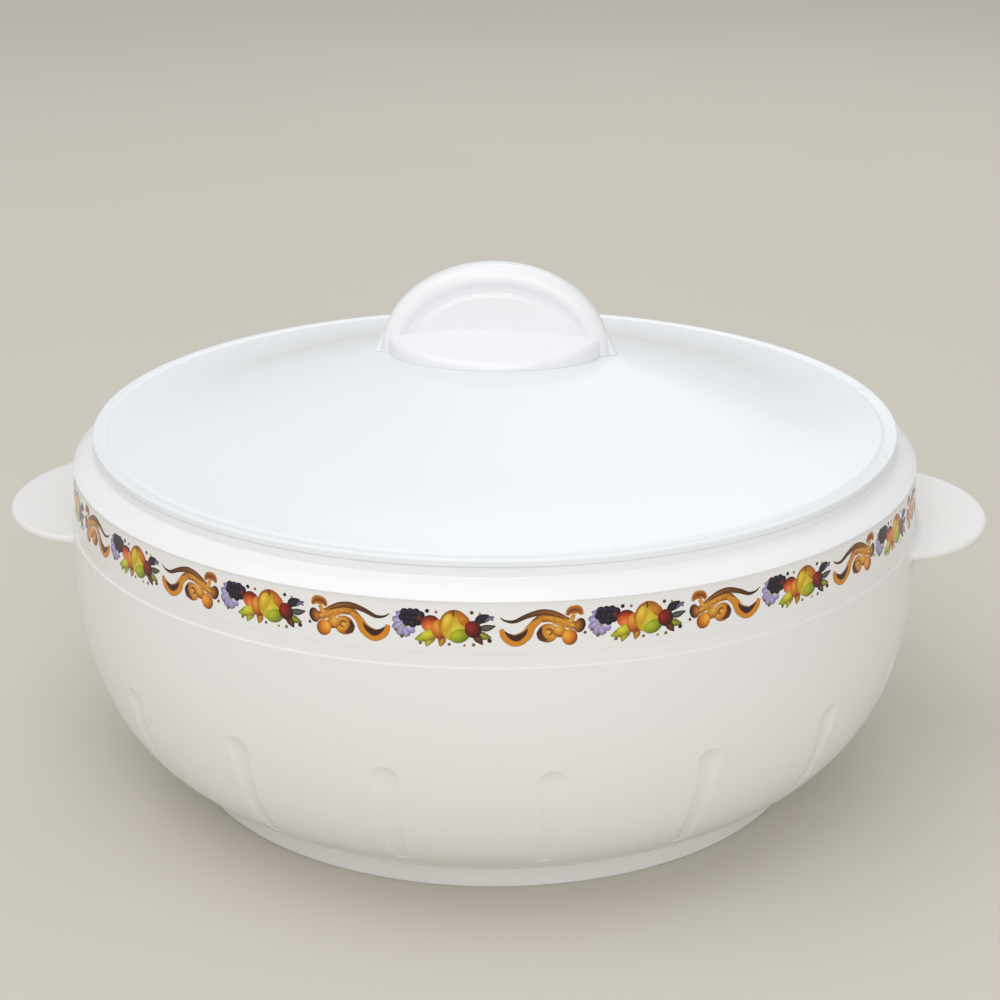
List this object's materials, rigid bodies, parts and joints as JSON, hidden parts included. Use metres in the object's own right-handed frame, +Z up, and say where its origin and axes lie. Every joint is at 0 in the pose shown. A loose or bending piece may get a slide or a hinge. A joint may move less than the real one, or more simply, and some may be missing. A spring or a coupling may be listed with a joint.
{
  "type": "insulated food pot",
  "caption": "Round double-walled insulated serving pot with foot ring, flat ear handles, steel bowl and a domed lift-off lid with an arched finger grip.",
  "frame": {"origin": "centre of the standing face of the foot ring, on the pot's axis", "axes": "+Z up along the pot's axis; X through the two ear handles, which is also the long way of the grip; Y across"},
  "size_m": [0.3408, 0.2918, 0.177],
  "materials": {
    "shell_white": "glossy moulded",
    "collar_white": "glossy moulded",
    "lid_white": "glossy moulded",
    "grip_white": "glossy moulded",
    "liner_white": "satin moulded",
    "cap_white": "matt moulded",
    "decal_ground": "printed film",
    "bowl_steel": "spun and polished",
    "gasket_rubber": "matt",
    "seal_rubber": "matt",
    "foam": "rigid foam",
    "screw_steel": "zinc plated"
  },
  "bodies": {
    "pot": {"outer_shell": "shell_white", "rim_collar": "collar_white", "inner_bowl": "bowl_steel", "bowl_gasket": "gasket_rubber", "body_foam": "foam", "base_cap": "cap_white", "decal_film": "decal_ground"},
    "lid": {"lid_cover": "lid_white", "lid_liner": "liner_white", "lid_foam": "foam", "lid_seal": "seal_rubber", "lid_cap": "cap_white", "lid_grip": "grip_white", "grip_screws": "screw_steel", "grip_washers": "screw_steel"}
  },
  "joints": [
    {"name": "lid_lift", "type": "slide", "parent": "pot", "child": "lid", "axis": [0, 0, 1], "range_m": [0, 0.12]}
  ]
}
